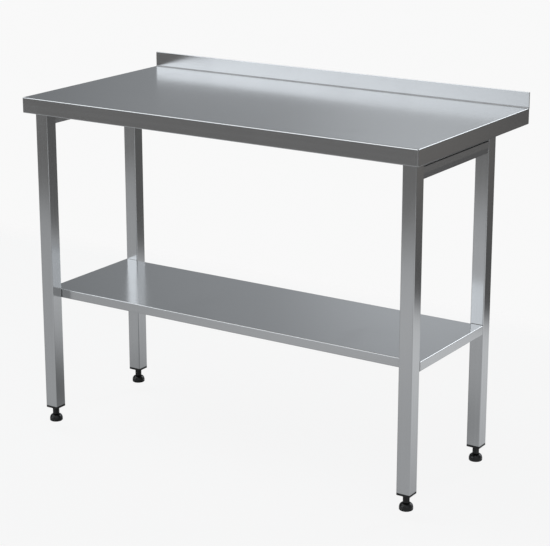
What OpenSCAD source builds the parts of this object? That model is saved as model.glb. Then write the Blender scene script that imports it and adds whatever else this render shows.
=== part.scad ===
// Stainless work table with a rear upstand, a lower shelf and four levelling feet.
//
// Frame: X runs along the length, +Y points to the wall, +Z is up. The origin is on the floor,
// under the middle of the worktop. Sizes are in millimetres.
// The worktop and the shelf are folded from sheet, the legs are square tube, and each foot is a
// spindle that screws into an insert in the leg's end plug and turns in a pad that stays still.

/* [Worktop] */
// Length of the worktop, left to right
top_l = 1200; // [800:10:2000]
// Depth of the worktop, front edge to wall face
top_d = 600; // [500:10:800]
// Height of the working surface above the floor, feet screwed in
work_h = 926; // [800:1:1100]
// Depth of the turned-down edges
edge_h = 42; // [35:1:60]
// Width of the lip turned in under the edges
edge_lip = 12; // [8:1:15]
// Height of the upstand above the working surface
upstand_h = 42; // [30:1:120]
// Gap inside the folded upstand
hem_gap = 1; // [0.6:0.1:4]
// Radius of the cove between the working surface and the upstand
cove_r = 1.5; // [1:0.5:8]
// Thickness of the stainless sheet
sheet_t = 1; // [0.8:0.1:1.5]
// Inside radius of the sheet's bends
bend_r = 1; // [0.8:0.1:1.5]
// Thickness of the board under the worktop
board_t = 16; // [12:1:18]

/* [Frame] */
// Side of the square leg tube
tube_w = 38; // [30:0.1:50]
// Wall of the leg tube
tube_t = 1.2; // [1:0.1:2]
// Outer corner radius of the leg tube
tube_r = 2.5; // [2.2:0.1:4]
// Leg's outer face, in from the worktop's end
leg_inset_x = 19; // [16:1:60]
// Front leg's front face, back from the front edge
leg_inset_y = 29; // [20:1:60]
// Rear leg's rear face, in from the wall face
wall_gap = 152; // [60:1:200]
// Thickness of the cap that closes a leg's top
cap_t = 4; // [3:0.5:6]
// Height of the side bearers under the board
bearer_h = 37.5; // [30:0.5:50]
// Thickness of bearers, rails and channels
channel_t = 1.5; // [1.2:0.1:2]
// Height of the side rails
rail_h = 30; // [20:1:50]
// Width of the side rails' top flange
rail_flange = 25; // [15:1:30]
// Height of the side rails' lower lip, which leans in
rail_lip = 14; // [5:1:18]
// Lean of that lip at its lower edge
rail_lean = 1.2; // [0.5:0.1:2]
// Gap between a bearer and the rail under it
rail_gap = 1.5; // [1:0.5:5]
// Side rail's outer face, in from the legs' outer faces
rail_recess = 1; // [0.5:0.1:3]
// Width of the channels across the worktop
cross_w = 30; // [24:1:30]

/* [Shelf] */
// Height of the shelf's surface above the floor
shelf_z = 383.5; // [200:0.5:600]
// Depth of the shelf's turned-down edges
shelf_h = 25; // [24:1:40]
// Width of the lip turned in under the shelf's edges
shelf_lip = 10; // [8:1:15]
// Gap between the shelf's edges and the legs
shelf_gap = 1; // [1:0.1:2]
// Inside width of the stiffener under the shelf
hat_w = 60; // [40:1:100]
// Depth of the stiffener under the shelf
hat_h = 20; // [15:1:22]
// Width of the stiffener's flanges
hat_flange = 15; // [10:1:20]

/* [Fasteners] */
// Number of screws through each cross channel
cross_screws = 5; // [3:1:9]
// Number of screws through each side bearer
bearer_screws = 3; // [2:1:5]
// Diameter of the worktop screws
screw_d = 4; // [3.5:0.5:5]
// Length of thread that a worktop screw has in the board
screw_bite = 10; // [8:1:11]
// Diameter of the shelf bolts
bolt_d = 6; // [5:1:8]
// Length of thread that a shelf bolt has past the shelf's edge
bolt_reach = 14; // [12:1:18]
// Shelf bolts' axis below the shelf's surface
bolt_drop = 12.5; // [11:0.5:13]

/* [Feet] */
// Diameter of the foot pad
pad_d = 36; // [30:1:40]
// Height of the pad's straight rim
rim_h = 8; // [6:0.5:9]
// Height of the pad
pad_h = 19; // [19:0.5:25]
// Thickness of the rubber sole
sole_t = 2; // [1.5:0.1:2.5]
// How far the sole stands out of the pad
sole_proud = 0.6; // [0.4:0.1:1]
// Hexagon of the hub, across its flats
hub_af = 17; // [16:1:19]
// Height of the hub
hub_h = 20.9; // [15:0.1:30]
// Diameter of the spindle
spindle_d = 10; // [8:1:10]
// Diameter of the ball on the spindle's lower end
ball_d = 12; // [12:0.5:13]
// Travel of a foot from fully in to fully out
foot_travel = 25; // [10:1:30]
// Thickness of the plug's flange under the leg
plug_flange = 6; // [2:0.5:8]
// Length of the plug inside the leg
plug_l = 30; // [26:1:40]
// Length of the threaded insert
insert_l = 20; // [16:1:22]
// Diameter of the threaded insert
insert_d = 15; // [13:1:16]

/* [Hidden] */

// Fits: a radius that is pushed on, one that turns, and the gap between faces that move apart
press_fit = 0.01;
run_fit = 0.05;
face_gap = 0.3;
// Slack round the plug in the tube, round the board in the skin, and in clearance holes
plug_slack = 0.1;
board_slack = bend_r + 0.2;
hole_slack = 0.25;
// Overlap of a cutting shape past the face that it cuts
over = 1;
$fn = 64;

// Heights
hub_z = pad_h + face_gap;
flange_z = hub_z + hub_h + face_gap;
leg_z = flange_z + plug_flange;
board_top_z = work_h - sheet_t;
board_z = board_top_z - board_t;
bearer_z = board_z - bearer_h;
rail_z = bearer_z - rail_gap - rail_h;
// The cross channels end just above the worktop's lower edge
cross_h = edge_h - sheet_t - board_t - 1;
ball_z = sole_t + sole_proud + ball_d / 2 + 1.4;
insert_z = leg_z + 0.5;

// Places of the legs' axes, and their faces
leg_x = top_l / 2 - leg_inset_x - tube_w / 2;
front_y = -top_d / 2 + leg_inset_y + tube_w / 2;
rear_y = top_d / 2 - wall_gap - tube_w / 2;
face_front_y = front_y + tube_w / 2;
face_rear_y = rear_y - tube_w / 2;
between_d = face_rear_y - face_front_y;
between_y = (face_rear_y + face_front_y) / 2;
outer_x = leg_x + tube_w / 2;
inner_x = leg_x - tube_w / 2;
wall_channel_y = top_d / 2 - edge_lip - 5 - cross_w / 2;

// Sheet, shelf and fastener sizes
fold_r = bend_r + sheet_t;
upstand_t = 2 * sheet_t + hem_gap;
shelf_l = 2 * outer_x;
shelf_d = between_d - 2 * shelf_gap;
bolt_z = shelf_z - bolt_drop;
nut_r = bolt_d / 2 + 1.5;
nut_flange_t = shelf_gap - 0.2;
nut_l = 9;
head_h = bolt_d / 2;
screw_head_h = screw_d * 0.6;

// ---- Flat shapes -------------------------------------------------------------------------

// Rectangle with round corners, centred
module round_rect(w, h, r) {
    square([w - 2 * r, h], center = true);
    square([w, h - 2 * r], center = true);
    for (x = [-1, 1], y = [-1, 1])
        translate([x * (w / 2 - r), y * (h / 2 - r)]) circle(r);
}

// Trough open at its top edge, which is at y = 0, with flanges turned out there
module trough(w, h, t, r, flange = 0) {
    difference() {
        union() {
            intersection() {
                round_rect(w, 2 * h, r + t);
                translate([-w, -2 * h]) square([2 * w, 2 * h]);
            }
            if (flange > 0) translate([-w / 2 - flange, -t]) square([w + 2 * flange, t]);
        }
        round_rect(w - 2 * t, 2 * (h - t), r);
    }
}

// Quarter of a ring, in the +X +Y corner
module quarter_ring(r_in, r_out) {
    intersection() {
        difference() {
            circle(r_out);
            circle(r_in);
        }
        square(r_out + over);
    }
}

// ---- Solids that repeat ------------------------------------------------------------------

// Extrudes a flat shape along X: the shape's x runs along Y and its y along Z
module along_x(l) {
    rotate([90, 0, 90]) linear_extrude(l, center = true) children();
}

// Extrudes a flat shape along Y: the shape's x runs along X and its y along Z
module along_y(l) {
    rotate([90, 0, 0]) linear_extrude(l, center = true) children();
}

// Block with all its long edges rounded, its top at z = 0
module soft_block(l, d, h, r) {
    intersection() {
        translate([0, 0, -h / 2]) along_x(l) round_rect(d, h, r);
        translate([0, 0, -h / 2]) along_y(d) round_rect(l, h, r);
        translate([0, 0, -h]) linear_extrude(h) round_rect(l, d, r);
    }
}

// Sheet tray, top face at z = 0, with edges folded down and lips folded in
module folded_tray(l, d, h, lip) {
    difference() {
        soft_block(l, d, h, fold_r);
        translate([0, 0, -sheet_t]) soft_block(l - 2 * sheet_t, d - 2 * sheet_t, h - 2 * sheet_t, bend_r);
        translate([0, 0, -h]) cube([l - 2 * lip, d - 2 * lip, 2 * h - 4 * sheet_t], center = true);
    }
}

// Puts its children at every leg, or at the legs of one side
module at_leg(front, right) {
    translate([right ? leg_x : -leg_x, front ? front_y : rear_y, 0]) children();
}

// Places of the worktop screws: across the channels, and along the bearers
function spread(n, from, to) = [for (i = [0 : n - 1]) from + (to - from) * (i + 0.5) / n];
cross_screw_at = [for (y = [front_y, rear_y, wall_channel_y], x = spread(cross_screws, -inner_x, inner_x)) [x, y]];
bearer_screw_at = [for (s = [-1, 1], y = spread(bearer_screws, face_front_y, face_rear_y)) [s * leg_x, y]];
screw_at = concat(cross_screw_at, bearer_screw_at);

module at_screws() {
    for (p = screw_at) translate([p[0], p[1], board_z]) children();
}

// ---- Worktop -----------------------------------------------------------------------------

// Upstand: the sheet turns up round the cove, over the hem and down the wall face
module upstand_section() {
    cove = [top_d / 2 - upstand_t - cove_r, work_h + cove_r];
    hem = [top_d / 2 - upstand_t / 2, work_h + upstand_h - upstand_t / 2];
    translate(cove) mirror([0, 1]) quarter_ring(cove_r, cove_r + sheet_t);
    translate([top_d / 2 - upstand_t, cove[1]]) square([sheet_t, hem[1] - cove[1]]);
    translate(hem) for (m = [0, 1]) mirror([m, 0]) quarter_ring(hem_gap / 2, upstand_t / 2);
    translate([top_d / 2 - sheet_t, work_h - fold_r - over])
        square([sheet_t, hem[1] - work_h + fold_r + over]);
}

// Plate that closes an end of the upstand
module upstand_end_section() {
    cove = [top_d / 2 - upstand_t - cove_r, work_h + cove_r];
    hem = [top_d / 2 - upstand_t / 2, work_h + upstand_h - upstand_t / 2];
    difference() {
        translate([cove[0], board_top_z - over]) square([cove_r + upstand_t, cove_r + sheet_t + over]);
        translate(cove) circle(cove_r);
    }
    translate([top_d / 2 - upstand_t, cove[1]]) square([upstand_t, hem[1] - cove[1]]);
    translate(hem) circle(upstand_t / 2);
}

module worktop_skin() {
    cut_y = top_d / 2 - upstand_t - cove_r;
    color("#9aa0a2") {
        difference() {
            translate([0, 0, work_h]) folded_tray(top_l, top_d, edge_h, edge_lip);
            translate([-top_l / 2 + fold_r, cut_y, board_top_z - bend_r])
                cube([top_l - 2 * fold_r, cove_r + upstand_t - sheet_t, fold_r + over]);
        }
        along_x(top_l) upstand_section();
        for (s = [-1, 1])
            translate([s * (top_l - fold_r) / 2, 0, 0]) along_x(fold_r) upstand_end_section();
    }
}

module underlay_board() {
    slack = sheet_t + board_slack;
    color("#b08d5b") difference() {
        translate([-top_l / 2 + slack, -top_d / 2 + slack, board_z])
            cube([top_l - 2 * slack, top_d - 2 * slack, board_t]);
        at_screws() translate([0, 0, -over]) cylinder(h = screw_bite + over + press_fit, d = screw_d);
    }
}

// Channel across the worktop, open downwards, with its web against the board
module cross_channel(y, l) {
    color("#8d9294") difference() {
        translate([0, y, board_z - cross_h]) mirror([0, 0, 1])
            along_x(l) trough(cross_w, cross_h, channel_t, channel_t);
        at_screws() translate([0, 0, -channel_t - over])
            cylinder(h = channel_t + 2 * over, r = screw_d / 2 + hole_slack);
    }
}

module front_channel() { cross_channel(front_y, 2 * inner_x); }
module rear_channel() { cross_channel(rear_y, 2 * inner_x); }
module wall_channel() { cross_channel(wall_channel_y, 2 * inner_x); }

// Bearer between a front and a rear leg, open towards the middle of the table
module bearer(side) {
    color("#8d9294") difference() {
        translate([side * (inner_x + rail_recess), between_y, board_z - bearer_h / 2])
            rotate([0, side * 90, 0]) along_y(between_d) mirror([0, 1])
                trough(bearer_h, tube_w - 2 * rail_recess, channel_t, channel_t);
        at_screws() translate([0, 0, -channel_t - over])
            cylinder(h = channel_t + 2 * over, r = screw_d / 2 + hole_slack);
    }
}

module left_bearer() { bearer(-1); }
module right_bearer() { bearer(1); }

// Rail under the bearer: a flange, an upright band and a lower lip that leans in
module rail(side) {
    face_x = outer_x - rail_recess;
    color("#8d9294") translate([0, between_y, 0]) mirror([side > 0 ? 0 : 1, 0, 0])
        along_y(between_d) translate([face_x, rail_z + rail_h]) polygon([
            [0, 0],
            [0, -(rail_h - rail_lip)],
            [-rail_lean, -rail_h],
            [-rail_lean - channel_t, -rail_h],
            [-channel_t, -(rail_h - rail_lip)],
            [-channel_t, -channel_t],
            [-rail_flange, -channel_t],
            [-rail_flange, 0]]);
}

module left_rail() { rail(-1); }
module right_rail() { rail(1); }

// Pan-head screws up through the channels and bearers into the board
module worktop_screws() {
    color("#c9ccce") at_screws() {
        translate([0, 0, -channel_t]) cylinder(h = channel_t + screw_bite, r = screw_d / 2 - press_fit);
        translate([0, 0, -channel_t - screw_head_h]) cylinder(h = screw_head_h, d = 2 * screw_d);
    }
}

// ---- Legs --------------------------------------------------------------------------------

module leg(front, right) {
    color("#a9abac") difference() {
        at_leg(front, right) translate([0, 0, leg_z]) linear_extrude(board_z - cap_t - leg_z)
            difference() {
                round_rect(tube_w, tube_w, tube_r);
                round_rect(tube_w - 2 * tube_t, tube_w - 2 * tube_t, tube_r - tube_t);
            }
        at_leg(front, right) translate([0, 0, bolt_z]) rotate([front ? -90 : 90, 0, 0])
            translate([0, 0, tube_w / 2 - tube_t - over])
                cylinder(h = tube_t + 2 * over, r = nut_r + press_fit);
    }
}

module leg_fl() { leg(true, false); }
module leg_fr() { leg(true, true); }
module leg_bl() { leg(false, false); }
module leg_br() { leg(false, true); }

// Plate welded into a leg's top, against the board
module leg_cap(front, right) {
    color("#8d9294") at_leg(front, right) translate([0, 0, board_z - cap_t])
        linear_extrude(cap_t) round_rect(tube_w, tube_w, tube_r);
}

module leg_cap_fl() { leg_cap(true, false); }
module leg_cap_fr() { leg_cap(true, true); }
module leg_cap_bl() { leg_cap(false, false); }
module leg_cap_br() { leg_cap(false, true); }

// ---- Shelf -------------------------------------------------------------------------------

// Places of the shelf bolts, pointing out of the shelf through its edge
module at_bolts() {
    for (front = [true, false], right = [true, false])
        at_leg(front, right) translate([0, 0, bolt_z]) rotate([front ? 90 : -90, 0, 0])
            translate([0, 0, -tube_w / 2 - shelf_gap]) children();
}

module shelf() {
    color("#a6abac") difference() {
        translate([0, between_y, shelf_z]) folded_tray(shelf_l, shelf_d, shelf_h, shelf_lip);
        at_bolts() translate([0, 0, -sheet_t - over])
            cylinder(h = sheet_t + 2 * over, r = bolt_d / 2 + hole_slack);
    }
}

// Hat section welded under the shelf, along its middle
module shelf_stiffener() {
    color("#8d9294") translate([0, between_y, shelf_z - sheet_t]) along_x(shelf_l - 2 * shelf_lip - 2)
        trough(hat_w + 2 * sheet_t, hat_h, sheet_t, bend_r, hat_flange);
}

// Button-head bolts from inside the shelf's edge into the legs
module shelf_bolts() {
    color("#c9ccce") at_bolts() {
        translate([0, 0, -sheet_t]) cylinder(h = sheet_t + bolt_reach, d = bolt_d);
        translate([0, 0, -sheet_t - head_h]) cylinder(h = head_h, d = 1.75 * bolt_d);
    }
}

// Rivet nuts set in the legs' walls
module shelf_nuts() {
    color("#c2b280") at_bolts() difference() {
        union() {
            translate([0, 0, shelf_gap - nut_flange_t]) cylinder(h = nut_flange_t, r = nut_r + 1.5);
            translate([0, 0, shelf_gap - nut_flange_t]) cylinder(h = nut_flange_t + nut_l, r = nut_r);
        }
        cylinder(h = nut_l + 2 * over, r = bolt_d / 2 + press_fit);
    }
}

// ---- Feet --------------------------------------------------------------------------------

// Plastic end plug: a flange under the tube, a square cup inside it and a boss for the insert
module plug(front, right) {
    cup_w = tube_w - 2 * tube_t - 2 * plug_slack;
    cup_t = 2;
    boss_r = insert_d / 2 + 2.5;
    color("#1c1c1e") at_leg(front, right) difference() {
        union() {
            translate([0, 0, flange_z]) linear_extrude(plug_flange) round_rect(tube_w, tube_w, tube_r);
            translate([0, 0, leg_z]) linear_extrude(plug_l) difference() {
                round_rect(cup_w, cup_w, tube_r - tube_t);
                square(cup_w - 2 * cup_t, center = true);
            }
            translate([0, 0, leg_z]) cylinder(h = insert_l + 0.5, r = boss_r);
            for (a = [0, 90]) rotate(a)
                translate([-cup_w / 2 + cup_t / 2, -cup_t / 2, leg_z]) cube([cup_w - cup_t, cup_t, insert_l]);
        }
        translate([0, 0, flange_z - over])
            cylinder(h = plug_flange + plug_l, r = spindle_d / 2 + hole_slack);
        translate([0, 0, insert_z]) cylinder(h = plug_l, r = insert_d / 2 + press_fit);
    }
}

module plug_fl() { plug(true, false); }
module plug_fr() { plug(true, true); }
module plug_bl() { plug(false, false); }
module plug_br() { plug(false, true); }

// Threaded insert pressed into the plug; its bore stands for the thread
module insert(front, right) {
    color("#c8a24a") at_leg(front, right) translate([0, 0, insert_z]) difference() {
        cylinder(h = insert_l, d = insert_d);
        translate([0, 0, -over]) cylinder(h = insert_l + 2 * over, r = spindle_d / 2 + run_fit);
    }
}

module insert_fl() { insert(true, false); }
module insert_fr() { insert(true, true); }
module insert_bl() { insert(false, false); }
module insert_br() { insert(false, true); }

// Steel spindle with a ball end; it fills the insert over the whole travel
module spindle(front, right) {
    color("#b9bcbe") at_leg(front, right) {
        translate([0, 0, ball_z]) sphere(d = ball_d);
        translate([0, 0, ball_z]) cylinder(h = insert_z + insert_l + foot_travel - ball_z, d = spindle_d);
    }
}

module spindle_fl() { spindle(true, false); }
module spindle_fr() { spindle(true, true); }
module spindle_bl() { spindle(false, false); }
module spindle_br() { spindle(false, true); }

// Hexagonal hub moulded round the spindle
module hub(front, right) {
    color("#1c1c1e") at_leg(front, right) translate([0, 0, hub_z]) difference() {
        cylinder(h = hub_h, d = hub_af / cos(30), $fn = 6);
        translate([0, 0, -over]) cylinder(h = hub_h + 2 * over, r = spindle_d / 2 + press_fit);
    }
}

module hub_fl() { hub(true, false); }
module hub_fr() { hub(true, true); }
module hub_bl() { hub(false, false); }
module hub_br() { hub(false, true); }

// Round pad with a domed shoulder, a ball socket and a recess for the sole
module pad(front, right) {
    shoulder_r = pad_h - rim_h;
    color("#1c1c1e") at_leg(front, right) difference() {
        rotate_extrude() {
            translate([0, sole_proud]) square([pad_d / 2, rim_h - sole_proud]);
            translate([0, rim_h]) square([pad_d / 2 - shoulder_r, shoulder_r]);
            translate([pad_d / 2 - shoulder_r, rim_h]) quarter_ring(0, shoulder_r);
        }
        translate([0, 0, ball_z]) sphere(r = ball_d / 2 + run_fit);
        translate([0, 0, ball_z]) cylinder(h = pad_h, r = spindle_d / 2 + run_fit);
        cylinder(h = sole_t, d = pad_d - 2 + 2 * press_fit);
    }
}

module pad_fl() { pad(true, false); }
module pad_fr() { pad(true, true); }
module pad_bl() { pad(false, false); }
module pad_br() { pad(false, true); }

module sole(front, right) {
    color("#2a2a2a") at_leg(front, right) cylinder(h = sole_t, d = pad_d - 2);
}

module sole_fl() { sole(true, false); }
module sole_fr() { sole(true, true); }
module sole_bl() { sole(false, false); }
module sole_br() { sole(false, true); }

worktop_skin();
underlay_board();
front_channel();
rear_channel();
wall_channel();
left_bearer();
right_bearer();
left_rail();
right_rail();
worktop_screws();
leg_fl();
leg_fr();
leg_bl();
leg_br();
leg_cap_fl();
leg_cap_fr();
leg_cap_bl();
leg_cap_br();
shelf();
shelf_stiffener();
shelf_bolts();
shelf_nuts();
plug_fl();
plug_fr();
plug_bl();
plug_br();
insert_fl();
insert_fr();
insert_bl();
insert_br();
spindle_fl();
spindle_fr();
spindle_bl();
spindle_br();
hub_fl();
hub_fr();
hub_bl();
hub_br();
pad_fl();
pad_fr();
pad_bl();
pad_br();
sole_fl();
sole_fr();
sole_bl();
sole_br();
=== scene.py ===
# %% [markdown]
# # A stainless work table
# This file dresses a CAD model of a kitchen work table. The CAD model is loaded as a fixed frame:
# it says where every part is and what moves. Here we give each part the surface that a maker would
# see, and we rebuild the parts whose bends, threads and welds the plain CAD solids leave out.
# Everything is in metres. X runs along the table, +Y points to the wall, and +Z is up.

# %% Load the CAD frame
import math
import bmesh
import bpy
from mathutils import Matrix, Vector


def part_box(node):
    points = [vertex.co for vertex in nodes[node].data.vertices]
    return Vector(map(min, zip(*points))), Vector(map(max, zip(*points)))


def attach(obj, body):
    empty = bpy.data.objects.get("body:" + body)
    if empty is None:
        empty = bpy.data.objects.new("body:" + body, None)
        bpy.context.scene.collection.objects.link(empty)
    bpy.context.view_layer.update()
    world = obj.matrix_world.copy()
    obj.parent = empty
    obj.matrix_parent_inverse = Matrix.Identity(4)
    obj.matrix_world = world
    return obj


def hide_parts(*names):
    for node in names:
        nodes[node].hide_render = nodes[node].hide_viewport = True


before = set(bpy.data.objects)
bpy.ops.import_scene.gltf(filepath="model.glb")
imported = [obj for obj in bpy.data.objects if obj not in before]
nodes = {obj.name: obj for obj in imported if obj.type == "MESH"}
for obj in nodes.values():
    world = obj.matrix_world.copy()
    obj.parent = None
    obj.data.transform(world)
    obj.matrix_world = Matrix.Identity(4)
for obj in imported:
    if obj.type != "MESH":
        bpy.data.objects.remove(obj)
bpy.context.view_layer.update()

# %% [markdown]
# ## The camera
# A product picture of a long table is taken from well back with a long lens, so that the far legs
# look nearly as tall as the near ones. We stand to the right of the front and look down a little.
# A small shift of the picture keeps the legs nearly upright, as a view camera does.

# %% Camera
CAMERA_PLACE = Vector((2.4716, -3.7836, 1.7886))
CAMERA_TURN = math.radians(33.05)
CAMERA_TILT = math.radians(15.49)
FOCAL_LENGTH = 114.2
PICTURE_SHIFT = -0.05
TABLE_MIDDLE = Vector((0, 0, 0.5))


def add_to_scene(name, data):
    """New object at the origin, linked to the scene."""
    thing = bpy.data.objects.new(name, data)
    bpy.context.scene.collection.objects.link(thing)
    return thing


lens = bpy.data.cameras.new("table_camera")
lens.lens = FOCAL_LENGTH
lens.shift_y = PICTURE_SHIFT
camera = add_to_scene("table_camera", lens)
camera.location = CAMERA_PLACE
camera.rotation_euler = (math.pi / 2 - CAMERA_TILT, 0, CAMERA_TURN)
bpy.context.scene.camera = camera
bpy.context.scene.view_settings.view_transform = "Standard"
print("camera", round((CAMERA_PLACE - TABLE_MIDDLE).length, 2), "m from the table")

# %% [markdown]
# ## Small tools for node trees
# Shader trees and geometry trees are built the same way: add a node, fill in its inputs, and join
# an output to an input. These helpers keep each step to one line.

# %% Node helpers
def fill(tree, sockets, values):
    """Sets inputs by name or number: an output socket is joined, anything else is set as it is."""
    for name, value in values.items():
        if isinstance(value, bpy.types.NodeSocket):
            tree.links.new(value, sockets[name])
        else:
            sockets[name].default_value = value


def put(tree, kind, inputs=None, **settings):
    """Adds a node with its settings and inputs."""
    node = tree.nodes.new(kind)
    for name, value in settings.items():
        setattr(node, name, value)
    fill(tree, node.inputs, inputs or {})
    return node


def take(tree, kind, inputs=None, **settings):
    """Adds a node and takes its first output."""
    return put(tree, kind, inputs, **settings).outputs[0]


def empty_tree(owner):
    """A world's or a material's node tree, emptied."""
    owner.use_nodes = True
    owner.node_tree.nodes.clear()
    return owner.node_tree


def math_node(tree, operation, *values):
    """Math nodes that work through the values in turn; returns the last one's output."""
    result = take(tree, "ShaderNodeMath", dict(enumerate(values[:2])), operation=operation)
    return math_node(tree, operation, result, *values[2:]) if values[2:] else result


def times(tree, *values):
    """Product of the values."""
    return math_node(tree, "MULTIPLY", *values)


def plus(tree, *values):
    """Sum of the values."""
    return math_node(tree, "ADD", *values)


def vector_node(tree, operation, *values):
    """One Vector Math node; returns a number for a length or a dot product, or else a vector."""
    node = put(tree, "ShaderNodeVectorMath", dict(enumerate(values)), operation=operation)
    return node.outputs["Value" if operation in ("LENGTH", "DOT_PRODUCT") else "Vector"]


def ramp(tree, value, low, high, to_low=0.0, to_high=1.0):
    """Smooth step of a value from low..high to to_low..to_high."""
    sizes = {"Value": value, "From Min": low, "From Max": high, "To Min": to_low, "To Max": to_high}
    return put(tree, "ShaderNodeMapRange", sizes, interpolation_type="SMOOTHSTEP").outputs["Result"]


def mix_colours(tree, factor, a, b):
    """Mix of two colours; the colour mix has its sockets at 6 and 7."""
    return put(tree, "ShaderNodeMix", {0: factor, 6: a, 7: b}, data_type="RGBA").outputs[2]


def grey(level, warmth=0.0):
    """A grey with a little warmth (towards red) or coolness (below zero)."""
    return (level * (1 + warmth), level, level * (1 - warmth), 1)


def tinted(tree, level, warmth=0.0):
    """The same for a level that changes over the surface."""
    red, blue = times(tree, level, 1 + warmth), times(tree, level, 1 - warmth)
    return take(tree, "ShaderNodeCombineColor", {0: red, 1: level, 2: blue})


def object_place(tree):
    """Object coordinates, in metres."""
    return put(tree, "ShaderNodeTexCoord").outputs["Object"]


def noise(tree, vector, scale, detail=2.0, roughness=0.5):
    """Noise texture's value."""
    inputs = {"Vector": vector, "Scale": scale, "Detail": detail, "Roughness": roughness}
    return put(tree, "ShaderNodeTexNoise", inputs).outputs["Fac"]

# %% [markdown]
# ## The studio
# Polished steel shows what stands round it, so most of the light is a surround that depends only on
# direction. It is dim overhead, with soft bright screens where the folds, the legs and the sheet
# look for light, and dim towards the far floor. A long white floor lies under the table. Where a leg
# reflects that floor it is light, and higher up, where it sees past the floor's edge, it is grey.
# The camera itself sees plain white.

# %% Studio surround
def towards(turn, rise):
    """Direction from the table: degrees to the right of straight back, and degrees up."""
    turn, rise = math.radians(turn), math.radians(rise)
    return Vector((math.sin(turn) * math.cos(rise), math.cos(turn) * math.cos(rise), math.sin(rise)))


def patch(tree, direction, middle, inner, outer, squash=1.0):
    """Mask of a soft patch in the surround, from its core to its edge in degrees off its middle."""
    scale = Vector((1, 1, squash))
    unit = vector_node(tree, "NORMALIZE", vector_node(tree, "MULTIPLY", direction, scale))
    dot = vector_node(tree, "DOT_PRODUCT", unit, (middle * scale).normalized())
    return ramp(tree, dot, math.cos(math.radians(outer)), math.cos(math.radians(inner)))


OVERHEAD_BASE = 0.19
# What it is, its middle, its core and its edge in degrees, and the light that it adds
BRIGHT_PATCHES = [
    ("front left screen", towards(-140, 17), 10, 27, 1.53),
    ("far left screen, broad", towards(-27, 15), 0, 18, 0.20),
    ("far left screen, core", towards(-27, 15), 0, 6.5, 0.28),
    ("far right screen", towards(43, 12), 6, 24, 0.80),
    ("front right wall", towards(140, 25), 15, 55, 0.50),
    ("lamp for the right-hand fold", towards(16, 30), 8, 17, 3.60),
    ("high left screen", towards(-100, 56), 12, 28, 1.30),
    ("ceiling", towards(0, 90), 20, 55, 0.12),
]
COOL = 0.045
FAR_FLOOR = grey(0.190, 0.01)
# The same below the horizon, with how flat the patch is and the grey that it brings
LOW_PATCHES = [
    ("darker floor to the right", towards(35, -20), 20, 70, 1.0, grey(0.135)),
    ("shade behind the table", towards(16, -16), 9.0, 15.5, 0.6, grey(0.095)),
    ("warm gleam on the floor", towards(29, -11.5), 0.5, 4.5, 1.0, grey(0.235, 0.05)),
]
HORIZON = (-0.03, 0.05)
CAMERA_WHITE = grey(0.945)


def build_surround():
    """World shader: a surround by direction for the steel, and plain white for the camera."""
    world = bpy.data.worlds.new("studio_surround")
    bpy.context.scene.world = world
    tree = empty_tree(world)
    direction = put(tree, "ShaderNodeTexCoord").outputs["Generated"]
    above = OVERHEAD_BASE
    for _, middle, core, edge, strength in BRIGHT_PATCHES:
        above = plus(tree, above, times(tree, patch(tree, direction, middle, core, edge), strength))
    below = FAR_FLOOR
    for _, middle, core, edge, squash, tone in LOW_PATCHES:
        below = mix_colours(tree, patch(tree, direction, middle, core, edge, squash), below, tone)
    height = put(tree, "ShaderNodeSeparateXYZ", {0: direction}).outputs["Z"]
    seen = mix_colours(tree, ramp(tree, height, *HORIZON), below, tinted(tree, above, -COOL))
    camera_ray = put(tree, "ShaderNodeLightPath").outputs["Is Camera Ray"]
    colour = mix_colours(tree, camera_ray, seen, CAMERA_WHITE)
    light = take(tree, "ShaderNodeBackground", {"Color": colour, "Strength": 1.0})
    put(tree, "ShaderNodeOutputWorld", {"Surface": light})


build_surround()
print("surround built with", len(bpy.context.scene.world.node_tree.nodes), "nodes")

# %% Floor
FLOOR_FRONT, FLOOR_BACK, FLOOR_SIDE = -3.4, 1.45, 3.6
# As low as a foot reaches when it is screwed out, so that the floor hides none of it
FLOOR_LEVEL = -0.0255
FLOOR_WHITE = 0.885
PAPER = 0.055
# Where the floor fades out: across a slanting line in front, and along its other edges
FRONT_LINE = (0.17, 1, 0)
FRONT_FADE = (-2.91, -2.52)
BACK_FADE = (FLOOR_BACK - 0.28, FLOOR_BACK - 0.02)
SIDE_FADE = (FLOOR_SIDE - 0.8, FLOOR_SIDE - 0.1)
# Painted light on the floor's glow: the way in which it grows lighter, from where to where, and from
# which level to which
LIGHTER_TOWARDS = (1, 1.04, 0)
LIGHTER_SPAN = (0.01, 2.18)
LIGHTER_LEVELS = (0.50, 0.77)
# Two ovals: middle, reach to the edge, share of the reach where the core ends, and gain in the core
LIGHT_POOL = ((-0.33, -1.84, 0), (1.06, 1.57, 1.0), 0.0, 1.24)
TABLE_SHADE = ((-0.11, -0.08, 0), (0.94, 0.58, 1.0), -0.075, 0.23)


def oval(tree, place, middle, reach, core, gain):
    """Gain on the floor's brightness in an oval, which comes back to 1 at its edge."""
    shares = vector_node(tree, "DIVIDE", vector_node(tree, "SUBTRACT", place, middle), reach)
    return ramp(tree, vector_node(tree, "LENGTH", shares), core, 1.0, gain, 1.0)


def floor_glow(tree, place):
    """Brightness of the floor as the steel sees it: a pool of light in front, dim under the table."""
    across = vector_node(tree, "DOT_PRODUCT", place, LIGHTER_TOWARDS)
    level = ramp(tree, across, *LIGHTER_SPAN, *LIGHTER_LEVELS)
    return times(tree, level, oval(tree, place, *LIGHT_POOL), oval(tree, place, *TABLE_SHADE))


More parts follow.
